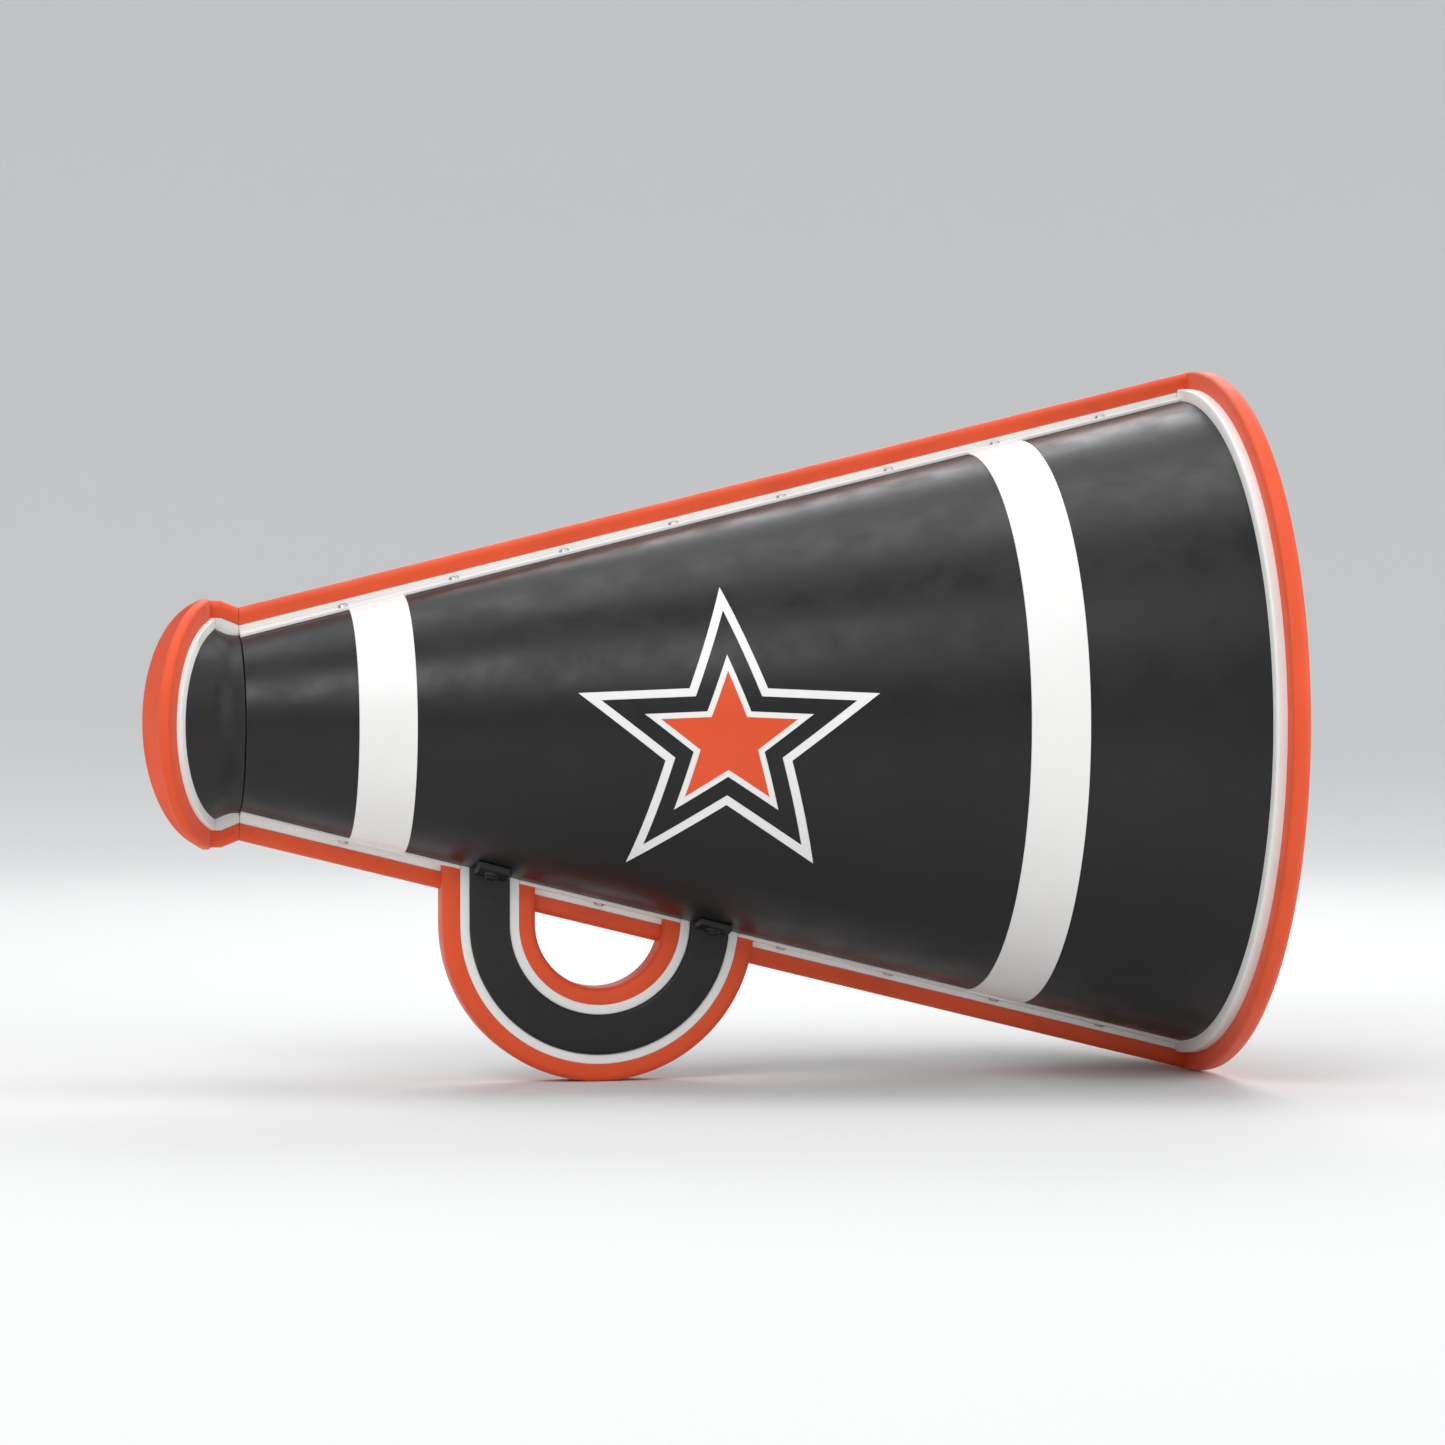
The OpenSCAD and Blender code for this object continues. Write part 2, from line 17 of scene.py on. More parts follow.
import bmesh
import bpy
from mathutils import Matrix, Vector


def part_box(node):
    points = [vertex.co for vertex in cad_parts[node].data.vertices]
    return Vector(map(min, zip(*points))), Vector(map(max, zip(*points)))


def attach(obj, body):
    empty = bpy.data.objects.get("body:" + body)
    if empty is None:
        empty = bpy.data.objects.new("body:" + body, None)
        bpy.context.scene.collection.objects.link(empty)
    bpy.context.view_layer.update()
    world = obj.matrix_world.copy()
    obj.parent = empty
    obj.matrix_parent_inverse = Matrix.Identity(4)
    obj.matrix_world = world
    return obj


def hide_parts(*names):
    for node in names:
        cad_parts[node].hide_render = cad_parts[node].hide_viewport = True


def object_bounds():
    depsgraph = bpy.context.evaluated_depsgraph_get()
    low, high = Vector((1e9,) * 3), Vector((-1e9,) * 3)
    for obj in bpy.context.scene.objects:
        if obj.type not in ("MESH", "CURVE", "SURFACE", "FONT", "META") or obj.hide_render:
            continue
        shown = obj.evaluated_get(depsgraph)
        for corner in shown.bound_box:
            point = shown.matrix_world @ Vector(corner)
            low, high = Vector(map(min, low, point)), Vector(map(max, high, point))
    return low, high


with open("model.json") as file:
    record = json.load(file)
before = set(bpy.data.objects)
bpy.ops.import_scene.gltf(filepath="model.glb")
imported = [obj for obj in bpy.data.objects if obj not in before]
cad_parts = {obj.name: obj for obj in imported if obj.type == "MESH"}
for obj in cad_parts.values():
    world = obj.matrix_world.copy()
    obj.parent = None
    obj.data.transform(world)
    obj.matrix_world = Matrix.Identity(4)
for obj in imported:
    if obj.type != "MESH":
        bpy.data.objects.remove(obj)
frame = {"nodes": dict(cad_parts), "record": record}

CAD_LO, CAD_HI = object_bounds()
print("CAD nodes:", len(frame["nodes"]))
print("CAD size in metres:", [round(v, 4) for v in CAD_HI - CAD_LO])

# %% [markdown]
# ## Reading the sizes
#
# The places could be typed in by hand, but then a change in the CAD model would leave the looks
# behind. So they are read from the boxes of the CAD nodes. The bell ring gives the height of the
# horn's axis. The front edges of the two white bands lie on the cone, so they give its slope. With the
# slope and the bell's edge, the radius of the cone is known everywhere.
#
# - `cone_r(x)` is the radius of the outside of the shells at a place along the horn.
# - `STRETCH` turns a height square to the sheet into a height square to the axis.

# %% Read the sizes of the horn
MM = 0.001
X, Y, Z = 0, 1, 2


def span(node, axis):
    """Lowest and highest value of a CAD node along one axis."""
    lo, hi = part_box(node)
    return lo[axis], hi[axis]


ring_lo, ring_hi = span("bell_ring", Z)
AXIS = (ring_lo + ring_hi) / 2
RING_R = (ring_hi - ring_lo) / 2
FACE_X = span("bell_ring", X)[1]
KEYLINE_X, RING_X = span("bell_keyline", X)
KEYLINE_R = span("bell_keyline", Y)[1]

rear_band, front_band = span("rear_band_left", X), span("front_band_left", X)
rear_reach, front_reach = span("rear_band_left", Y)[1], span("front_band_left", Y)[1]
SLOPE = (front_reach - rear_reach) / (front_band[1] - rear_band[1])
STRETCH = math.hypot(1, SLOPE)
NECK_X, EDGE_X = span("left_shell", X)
EDGE_R = span("left_shell", Y)[1]


def cone_r(x, height=0.0):
    """Radius of the cone at x, or of a layer that stands a height above it."""
    return EDGE_R + SLOPE * (x - EDGE_X) + height * STRETCH


BAND_T = (rear_reach - cone_r(rear_band[1])) / STRETCH
print("axis height", round(AXIS, 4), "slope", round(SLOPE, 4), "neck radius", round(cone_r(NECK_X), 4))

# %% [markdown]
# The trims are stacked like layers: a flat flange, a white keyline and an orange trim. The handle's
# loops are stacked in the same way, so their boxes give the heights of the layers. Widths are counted
# from the middle of the megaphone, so each one is half of the whole. A few sizes that no box can show,
# such as the thickness of the sheet, are typed in as the round numbers of the CAD model.

# %% Read the sizes of the trims and of the handle
KEY_H = span("handle_outer_keyline", X)[1] - span("handle_core", X)[1]
TRIM_H = span("handle_outer_trim", X)[1] - span("handle_outer_keyline", X)[1]
FLANGE_W = span("top_joiner", Y)[1]
FLANGE_T = 2 * MM
SPINE_W = 4 * MM
TRIM_W = span("top_trim", Y)[1]
SHEET_T = 2.5 * MM

HANDLE_X = sum(span("handle_outer_trim", X)) / 2
LOOP_R = HANDLE_X - span("handle_outer_trim", X)[0]
LOOP_Z = LOOP_R - AXIS
KEY_R = HANDLE_X - span("handle_outer_keyline", X)[0]
CORE_R = KEY_R - KEY_H
CORE_IN_R = HANDLE_X - span("handle_inner_keyline", X)[0]
INNER_TRIM_R = HANDLE_X - span("handle_inner_trim", X)[0]
HAND_R = INNER_TRIM_R - TRIM_H
CORE_W = 14 * MM
LOOP_W = span("handle_outer_trim", Y)[1]
EAR_W = span("handle_core", Y)[1]
print("keyline", round(KEY_H / MM, 2), "mm, trim", round(TRIM_H / MM, 2), "mm, loop radius", round(LOOP_R, 4))

# %% [markdown]
# ## Finishes
#
# Moulded plastic, printed film and plated steel are never one flat colour. A painted image could show
# that, but it would have to be fitted to every piece. Here each finish is a tree of nodes, which works
# at any place on any piece. Colours are given as screen values, which are easy to compare, and `srgb`
# turns them into the linear values that a shader needs.

# %% Turn screen colours into linear ones
def srgb(r, g, b):
    """Linear colour from screen values between 0 and 255."""
    out = []
    for v in (r, g, b):
        v /= 255
        out.append(v / 12.92 if v <= 0.04045 else ((v + 0.055) / 1.055) ** 2.4)
    return (*out, 1)


ORANGE = srgb(226, 77, 26)
PALE_ORANGE = srgb(238, 134, 94)
PALE_WHITE = srgb(206, 202, 194)
print("orange in linear values:", [round(v, 3) for v in ORANGE[:3]])

# %% [markdown]
# The same few nodes come back in every finish: a noise for a random pattern, a ramp that stretches
# part of a pattern onto the values wanted, a mix of two colours, a sum or product, and a bump. The
# nodes could be written out each time, but one short function for each keeps the tree easy to read.

# %% Make helpers for the node trees
def add_noise(tree, place, scale, detail, roughness):
    """A random pattern."""
    node = tree.nodes.new("ShaderNodeTexNoise")
    node.inputs["Scale"].default_value = scale
    node.inputs["Detail"].default_value = detail
    node.inputs["Roughness"].default_value = roughness
    tree.links.new(place, node.inputs["Vector"])
    return node.outputs["Fac"]


def add_ramp(tree, source, from_min, from_max, to_min, to_max):
    """A value stretched from one range onto another, and held at the ends of it."""
    node = tree.nodes.new("ShaderNodeMapRange")
    node.inputs["From Min"].default_value = from_min
    node.inputs["From Max"].default_value = from_max
    node.inputs["To Min"].default_value = to_min
    node.inputs["To Max"].default_value = to_max
    tree.links.new(source, node.inputs["Value"])
    return node.outputs["Result"]


def add_mix(tree, factor):
    """A node that goes from colour A to colour B."""
    node = tree.nodes.new("ShaderNodeMix")
    node.data_type = "RGBA"
    tree.links.new(factor, node.inputs["Factor"])
    return node


def add_math(tree, operation, first, second):
    """A sum or a product, held between 0 and 1."""
    node = tree.nodes.new("ShaderNodeMath")
    node.operation = operation
    node.use_clamp = True
    tree.links.new(first, node.inputs[0])
    tree.links.new(second, node.inputs[1])
    return node.outputs["Value"]


def add_bump(tree, height, strength, depth):
    """Small hills and hollows that only the light sees."""
    node = tree.nodes.new("ShaderNodeBump")
    node.inputs["Strength"].default_value = strength
    node.inputs["Distance"].default_value = depth
    tree.links.new(height, node.inputs["Height"])
    return node


print("node helpers ready")

# %% [markdown]
# Handling rubs the edges first: they get paler and duller. They could be painted by hand, but a bevel
# node finds them by itself. It gives the direction that a rounded surface would face, and where that
# differs from the true direction there is an edge. A smudgy noise breaks the worn line up.

# %% Find the rubbed edges
WEAR_REACH = 1.1 * MM


def add_rubbed_edges(tree, smudge, wear):
    """A value that is high on the worn stretches of the edges and 0 elsewhere."""
    bevel = tree.nodes.new("ShaderNodeBevel")
    bevel.samples = 4
    bevel.inputs["Radius"].default_value = WEAR_REACH
    shape = tree.nodes.new("ShaderNodeNewGeometry")
    match = tree.nodes.new("ShaderNodeVectorMath")
    match.operation = "DOT_PRODUCT"
    tree.links.new(bevel.outputs["Normal"], match.inputs[0])
    tree.links.new(shape.outputs["Normal"], match.inputs[1])
    edge = add_ramp(tree, match.outputs["Value"], 0.82, 0.985, 1, 0)
    patchy = add_ramp(tree, smudge, 0.42, 0.68, 0, wear * 2)
    return add_math(tree, "MULTIPLY", edge, patchy)


print("edges are rubbed over", round(WEAR_REACH / MM, 1), "mm")

# %% [markdown]
# A finish puts these together. A broad noise shifts the colour a little, as in real moulded plastic.
# A smudgy one varies the roughness, so that highlights break up, and a fine one gives the surface its
# grain. The pattern could follow the mesh, but it follows the object's own space instead, so it has no
# seams. `brushed` squeezes it along one axis, as on steel that was rubbed one way.

# %% Build a finish
GRAIN_DEPTH, WAVE_DEPTH = 0.2 * MM, 2 * MM


def finish(name, colour, rough, *, rough_swing, shift, patch, grain, bump, wear, wear_colour=None,
           metal=0.0, sheen=0.0, ior=1.5, brushed=1.0):
    """A procedural finish with colour and roughness variation, surface grain and edge wear."""
    mat = bpy.data.materials.new(name)
    mat.use_nodes = True
    tree = mat.node_tree
    link = tree.links.new
    shader = tree.nodes["Principled BSDF"]
    shader.inputs["Metallic"].default_value = metal
    shader.inputs["IOR"].default_value = ior
    shader.inputs["Sheen Weight"].default_value = sheen
    shader.inputs["Sheen Roughness"].default_value = 0.45

    place = tree.nodes.new("ShaderNodeTexCoord")
    turn = tree.nodes.new("ShaderNodeMapping")
    turn.inputs["Scale"].default_value = (1, brushed, 1)
    link(place.outputs["Object"], turn.inputs["Vector"])
    broad = add_noise(tree, turn.outputs["Vector"], patch, 3, 0.55)
    smudge = add_noise(tree, turn.outputs["Vector"], patch * 5, 5, 0.6)
    fine = add_noise(tree, turn.outputs["Vector"], grain, 2, 0.5)
    rubbed = add_rubbed_edges(tree, smudge, wear)

    tint = add_mix(tree, add_ramp(tree, broad, 0.3, 0.7, 0, 1))
    tint.inputs["A"].default_value = (*[c * (1 - shift) for c in colour[:3]], 1)
    tint.inputs["B"].default_value = (*[min(1, c * (1 + shift) + 0.0012) for c in colour[:3]], 1)
    worn = add_mix(tree, rubbed)
    link(tint.outputs["Result"], worn.inputs["A"])
    worn.inputs["B"].default_value = wear_colour or (*[min(1, c * 1.5 + 0.03) for c in colour[:3]], 1)
    link(worn.outputs["Result"], shader.inputs["Base Color"])

    smudged = add_ramp(tree, smudge, 0.32, 0.68, rough - rough_swing, rough + rough_swing)
    dull = add_math(tree, "ADD", smudged, add_ramp(tree, rubbed, 0, 1, 0, 0.12))
    link(dull, shader.inputs["Roughness"])

    grain_bump = add_bump(tree, fine, bump * 6, GRAIN_DEPTH)
    wave_bump = add_bump(tree, broad, bump * 3, WAVE_DEPTH)
    link(grain_bump.outputs["Normal"], wave_bump.inputs["Normal"])
    link(wave_bump.outputs["Normal"], shader.inputs["Normal"])
    return mat


print("finish builder ready, with grain", round(GRAIN_DEPTH / MM, 1), "mm deep")

# %% [markdown]
# The shells are smooth sheet, so they shine more than the moulded black parts. The trims and the lip
# are soft, so they are duller and have a faint sheen. The bands and stars are printed film. Rivets are
# aluminium, and the handle's plates, screws, washers and nuts are steel.

# %% List the finishes
FINISH = {
    "shell_plastic": finish("satin black sheet", srgb(18, 18, 19), 0.37, rough_swing=0.09, shift=0.18,
                            patch=8, grain=1500, bump=0.03, wear=0.45, wear_colour=srgb(92, 92, 94),
                            ior=1.42),
    "black_plastic": finish("matt black moulding", srgb(19, 19, 20), 0.48, rough_swing=0.09, shift=0.15,
                            patch=14, grain=1100, bump=0.07, wear=0.45, wear_colour=srgb(88, 88, 90),
                            ior=1.46),
    "white_plastic": finish("satin white moulding", srgb(238, 237, 234), 0.36, rough_swing=0.08, shift=0.035,
                            patch=12, grain=1300, bump=0.03, wear=0.35, wear_colour=PALE_WHITE),
    "white_film": finish("white film", srgb(241, 240, 238), 0.42, rough_swing=0.07, shift=0.03,
                         patch=14, grain=900, bump=0.03, wear=0.30, wear_colour=PALE_WHITE),
    "orange_trim": finish("soft orange trim", ORANGE, 0.56, rough_swing=0.09, shift=0.08,
                          patch=12, grain=1200, bump=0.07, wear=0.40, wear_colour=PALE_ORANGE, sheen=0.08),
    "orange_film": finish("orange film", ORANGE, 0.42, rough_swing=0.07, shift=0.06,
                          patch=12, grain=900, bump=0.03, wear=0.30, wear_colour=PALE_ORANGE),
    "lip_rubber": finish("matt orange lip", ORANGE, 0.62, rough_swing=0.08, shift=0.08,
                         patch=14, grain=1600, bump=0.06, wear=0.30, wear_colour=PALE_ORANGE, sheen=0.12),
    "seal_rubber": finish("black seal rubber", srgb(24, 24, 25), 0.60, rough_swing=0.08, shift=0.15,
                          patch=60, grain=2500, bump=0.05, wear=0.30),
    "rivet_metal": finish("rivet aluminium", srgb(196, 197, 199), 0.36, rough_swing=0.12, shift=0.08,
                          patch=90, grain=3500, bump=0.05, wear=0.50, wear_colour=srgb(226, 227, 229),
                          metal=1.0),
    "fixing_steel": finish("zinc plated steel", srgb(186, 189, 192), 0.34, rough_swing=0.12, shift=0.10,
                           patch=70, grain=2500, bump=0.06, wear=0.50, wear_colour=srgb(222, 224, 226),
                           metal=1.0, brushed=4.0),
    "black_steel": finish("black oxide steel", srgb(44, 44, 46), 0.42, rough_swing=0.10, shift=0.15,
                          patch=80, grain=2500, bump=0.05, wear=0.60, wear_colour=srgb(120, 120, 122),
                          metal=1.0),
}
print("finishes:", ", ".join(FINISH))

# %% [markdown]
# Each CAD node belongs to a material slot, and the record holds that list. The finishes could be put
# on node by node, but a short loop over the record can't miss one.

# %% Put a finish on every CAD node
SLOT_OF = {part["node"]: part["material_slot"] for part in frame["record"]["subparts"]}
for name, node in frame["nodes"].items():
    node.data.materials.clear()
    node.data.materials.append(FINISH[SLOT_OF[name]])
print("finished CAD nodes:", len(SLOT_OF))

# %% [markdown]
# ## Tools for clean meshes
#
# Nearly every piece of the megaphone is a strip, a ring or a layer with one cross-section. It could be
# modelled with curves and modifiers, but rows of points follow the cone more exactly. `piece` makes a
# closed solid from such rows. Each row is one cross-section, and the rows follow the piece from one end
# to the other. Both ends are closed, unless the rows run round in a loop. `dress` then rounds the
# edges, shades the mesh smoothly and ties it to the body that it moves with.

# %% Make solids from rows of points
SHARP = math.radians(35)


def dress(obj, body, node, bevel, segments):
    """Puts an object in the scene with its finish, rounded edges and body, and hides the CAD node that it
    stands for.
    """
    bpy.context.scene.collection.objects.link(obj)
    for polygon in obj.data.polygons:
        polygon.use_smooth = True
    obj.data.set_sharp_from_angle(angle=SHARP)
    if bevel:
        mod = obj.modifiers.new("rounded edges", "BEVEL")
        mod.width = bevel
        mod.segments = segments
        mod.limit_method = "ANGLE"
        mod.angle_limit = SHARP
        mod.harden_normals = True
    obj.data.materials.append(FINISH[SLOT_OF[node]])
    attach(obj, body)
    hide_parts(node)
    return obj


def close_end(bm, row):
    """Closes an outline with quads, like the rungs of a ladder, or with one face if its count is odd."""
    wide = len(row)
    if wide % 2:
        bm.faces.new(row)
        return
    for j in range(wide // 2 - 1):
        bm.faces.new((row[j], row[j + 1], row[wide - 2 - j], row[wide - 1 - j]))


def piece(name, rows, body, node, bevel=0.0, looped=False, segments=2):
    """A solid from rows of points. Each row is a closed outline; a looped piece joins last to first."""
    bm = bmesh.new()
    grid = [[bm.verts.new(p) for p in row] for row in rows]
    count, wide = len(grid), len(grid[0])
    for i in range(count if looped else count - 1):
        a, b = grid[i], grid[(i + 1) % count]
        for j in range(wide):
            k = (j + 1) % wide
            bm.faces.new((a[j], a[k], b[k], b[j]))
    if not looped:
        close_end(bm, grid[0])
        close_end(bm, grid[-1])
    bm.normal_update()
    bmesh.ops.recalc_face_normals(bm, faces=bm.faces)
    mesh = bpy.data.meshes.new(name)
    bm.to_mesh(mesh)
    bm.free()
    return dress(bpy.data.objects.new(name, mesh), body, node, bevel, segments)


print("edges sharper than", round(math.degrees(SHARP)), "degrees are rounded")

# %% [markdown]
# ## The shells and the bands
#
# The two shells are halves of one cone, formed from thin sheet, so the bell shows their inner faces.
# The white bands are thin film on the outside, and they stop at the flange of each seam. Both could be
# cut from a whole cone, but a cut leaves uneven faces. `half_layer` lays each half directly between two
# heights, and stops a gap short of the seams. The film is sunk a hair into the sheet, so that no light
# shows under it.

# %% Make the shells and the bands
SHEET_GAP = 1 * MM
SINK = 0.05 * MM
SIDES = ((-1, "right"), (1, "left"))


def steps(start, end, count):
    """Evenly spaced values from start to end."""
    return [start + (end - start) * i / count for i in range(count + 1)]


def half_layer(name, x0, x1, h0, h1, gap, side, node, bevel, across, along):
    """Half of a layer on the cone, between two heights, that stops a gap short of the seams."""
    rows = []
    for x in steps(x0, x1, along):
        row = []
        for height, order in ((h1, 1), (h0, -1)):
            r = cone_r(x, height)
            start = math.asin(gap / r)
            row += [(x, side * r * math.sin(a), AXIS + r * math.cos(a))
                    for a in steps(start, math.pi - start, across)[::order]]
        rows.append(row)
    return piece(name, rows, "horn", node, bevel)


for side, word in SIDES:
    half_layer(f"{word}_shell_skin", NECK_X, EDGE_X, -SHEET_T, 0, SHEET_GAP, side, f"{word}_shell",
               0.4 * MM, across=96, along=24)
    for place, (x0, x1) in (("rear", rear_band), ("front", front_band)):
        half_layer(f"{place}_band_{word}_film", x0, x1, -SINK, BAND_T, FLANGE_W, side,
                   f"{place}_band_{word}", 0.25 * MM, across=72, along=4)
print("shells and bands made, film", round(BAND_T / MM, 2), "mm thick")

# %% [markdown]
# ## The rings of the bell
#
# The bell ends in a soft orange ring with a white ring behind it. The orange ring wraps over the raw
# edge of the shells and runs a little way down the inside, up to a stiffening hoop. Rings could be
# turned with the screw modifier, but `lathe` puts the points round the horn's own axis and can also
# push them along it, which the mouthpiece needs later. Rounded corners come from `arc`.

# %% Make the rings of the bell
TURNS = 256


def arc(cx, cy, r, start, end, count):
    """Points along an arc, with angles in degrees."""
    return [(cx + r * math.cos(math.radians(a)), cy + r * math.sin(math.radians(a)))
            for a in steps(start, end, count)]


def lathe(name, outline, node, body="horn", bevel=0.0, contour=None):
    """A ring turned round the axis. A point (x, r, True) lies a depth x behind the contoured face."""
    rows = []
    for i in range(TURNS):
        a = 2 * math.pi * i / TURNS
        row = []
        for x, r, *contoured in outline:
            y, z = r * math.sin(a), r * math.cos(a)
            row.append((x + contour(y) if contoured else x, y, AXIS + z))
        rows.append(row)
    return piece(name, rows, body, node, bevel, looped=True)


def inside(x):
    """Radius of the inner face of the sheet."""
    return cone_r(x, -SHEET_T)


HOOP = span("bell_hoop", X)
HOOP_DEPTH = 5 * MM
INNER_EDGE = inside(FACE_X)
ring = [(RING_X, cone_r(RING_X))]
ring += arc(RING_X + 2 * MM, RING_R - 2 * MM, 2 * MM, 180, 90, 5)
ring += arc(FACE_X - 5 * MM, RING_R - 5 * MM, 5 * MM, 90, 0, 8)
ring += [(FACE_X, INNER_EDGE - 1.5 * MM), (FACE_X - 0.5 * MM, INNER_EDGE - 2.6 * MM),
         (FACE_X - 1.6 * MM, INNER_EDGE - 3.2 * MM), (HOOP[1], inside(HOOP[1]) - 3 * MM),
         (HOOP[1], inside(HOOP[1])), (EDGE_X, inside(EDGE_X)), (EDGE_X, cone_r(EDGE_X))]
lathe("bell_ring_trim", ring, "bell_ring", bevel=0.3 * MM)

lathe("bell_keyline_ring", [
    (KEYLINE_X, cone_r(KEYLINE_X)), (KEYLINE_X, KEYLINE_R - 1.5 * MM),
    (KEYLINE_X + 0.3 * MM, KEYLINE_R - 0.7 * MM), (KEYLINE_X + 0.8 * MM, KEYLINE_R - 0.2 * MM),
    (KEYLINE_X + 1.5 * MM, KEYLINE_R), (RING_X, KEYLINE_R), (RING_X, cone_r(RING_X))],
    "bell_keyline", bevel=0.2 * MM)
lathe("bell_hoop_band", [
    (HOOP[0], inside(HOOP[0])), (HOOP[0], cone_r(HOOP[0], -HOOP_DEPTH)),
    (HOOP[1], cone_r(HOOP[1], -HOOP_DEPTH)), (HOOP[1], inside(HOOP[1]))],
    "bell_hoop", bevel=0.5 * MM)
print("bell radius", round(RING_R, 4), "ring from", round(RING_X, 4), "to", round(FACE_X, 4))

# %% [markdown]
# ## The seams
#
# A seam joiner is a white strip with a raised spine, and the orange trim sits on the spine. Both run
# the whole length of the cone, along the top and along the bottom. Below, the handle interrupts them.
# The strips could run on through the handle, but then two surfaces would lie in each other, so the
# bottom ones are made in three lengths that end exactly at the loop.
#
# `loop_edge` finds where a strip meets the loop. The loop has straight sides above its middle and a
# round lower half, so a low strip meets the curve and a high strip meets the straight side.

# %% Find where a strip ends
def loop_edge(radius, sign, z):
    """Place along the horn where the loop's outline of a radius passes a height measured from the axis."""
    drop = max(0.0, LOOP_Z - z)
    return HANDLE_X + sign * math.sqrt(max(radius ** 2 - drop ** 2, 0))


def at_loop(radius, sign):
    """End of a strip at one side of the loop's outline."""
    return lambda z: loop_edge(radius, sign, z)


def strip_z(x, y, height, flat):
    """Height above the axis of a point of a seam strip: flat across, or following the round cone."""
    r = cone_r(x, height)
    return r if flat else math.sqrt(r * r - y * y)


def strip_end(stop, way, point):
    """Place where one point of a strip ends. A stop is a place, or a function of height that gives one."""
    if not callable(stop):
        return stop
    place = HANDLE_X
    for _ in range(6):
        place = stop(way * strip_z(place, *point))
    return place


print("seam strips end at the loop:", round(loop_edge(LOOP_R, -1, 0), 4), round(loop_edge(LOOP_R, 1, 0), 4))

# %% [markdown]
# The outline of a strip is a list of points (across, height, flat or not). The flange lies on the cone,
# so its points follow the round. The spine and the trim are moulded straight across, so theirs don't.

# %% Make the seam strips
JOINER_BEVEL, TRIM_BEVEL = 0.45 * MM, 0.2 * MM


def seam_strip(name, outline, start, end, way, node, bevel, along=60):
    """A strip along a seam, above (way 1) or below (way -1)."""
    ends = [(strip_end(start, way, point), strip_end(end, way, point)) for point in outline]
    rows = []
    for t in steps(0, 1, along):
        row = []
        for (x0, x1), (y, height, flat) in zip(ends, outline):
            x = x0 + (x1 - x0) * t
            row.append((x, y, AXIS + way * strip_z(x, y, height, flat)))
        rows.append(row)
    return piece(name, rows, "horn", node, bevel)


def joiner_outline():
    """Flange and spine of a joiner."""
    w, s = FLANGE_W, SPINE_W
    flange_up = [(y, FLANGE_T, False) for y in steps(-w, -s, 3)]
    flange_down = [(y, FLANGE_T, False) for y in steps(s, w, 3)]
    base = [(y, 0.0, False) for y in steps(w, -w, 7)]
    return flange_up + [(-s, KEY_H, True), (s, KEY_H, True)] + flange_down + base


def trim_outline():
    """Rounded orange trim on the spine."""
    w, top = TRIM_W, KEY_H + TRIM_H
    crown = [(y, h, True) for y, h in arc(0, top - w, w, 180, 0, 14)]
    return [(-w, KEY_H, True)] + crown + [(w, KEY_H, True)]


JOINER, TRIM = joiner_outline(), trim_outline()
seam_strip("top_joiner_strip", JOINER, NECK_X, KEYLINE_X, 1, "top_joiner", JOINER_BEVEL)
seam_strip("top_trim_strip", TRIM, NECK_X, RING_X, 1, "top_trim", TRIM_BEVEL)
seam_strip("bottom_joiner_rear", JOINER, NECK_X, at_loop(KEY_R, -1), -1, "bottom_joiner", JOINER_BEVEL)
seam_strip("bottom_joiner_middle", JOINER, at_loop(INNER_TRIM_R, -1), at_loop(INNER_TRIM_R, 1), -1,
           "bottom_joiner", JOINER_BEVEL, along=12)
seam_strip("bottom_joiner_front", JOINER, at_loop(KEY_R, 1), KEYLINE_X, -1, "bottom_joiner", JOINER_BEVEL)
seam_strip("bottom_trim_rear_strip", TRIM, NECK_X, at_loop(LOOP_R, -1), -1, "bottom_trim_rear", TRIM_BEVEL)
seam_strip("bottom_trim_middle_strip", TRIM, at_loop(HAND_R, -1), at_loop(HAND_R, 1), -1,
           "bottom_trim_middle", TRIM_BEVEL, along=12)
seam_strip("bottom_trim_front_strip", TRIM, at_loop(LOOP_R, 1), RING_X, -1, "bottom_trim_front", TRIM_BEVEL)
print("points in a joiner's outline:", len(JOINER), "in a trim's:", len(TRIM))

# %% [markdown]
# ## The handle
#
# The handle is five loops, one inside the other: orange, white, black, white, orange. Each is swept
# along the same path: down the rear leg, round the lower half and up to the cone in front. A curve with
# a bevel could sweep them, but its ends would be cut square, and these must follow the cone. So
# `loop_path` works out the path for each point of the cross-section by itself.

# %% Find the path of a loop
def on_loop(radius, angle):
    """A point on the round part of the loop."""
    return HANDLE_X + radius * math.cos(angle), LOOP_Z - radius * math.sin(angle)


def front_end(radius, surface):
    """Angle at which the round part ends in front, and the length of the straight leg above it."""
    leg_top = surface(HANDLE_X + radius)
    if leg_top >= LOOP_Z:
        return 0.0, leg_top - LOOP_Z
    # The cone comes down past the loop's middle, so the round part ends early, at an angle found by halving.
    low, high = 0.0, math.pi / 3
    for _ in range(40):
        mid = (low + high) / 2
        x, z = on_loop(radius, mid)
        if z > surface(x):
            low = mid
        else:
            high = mid
    return low, 0.0


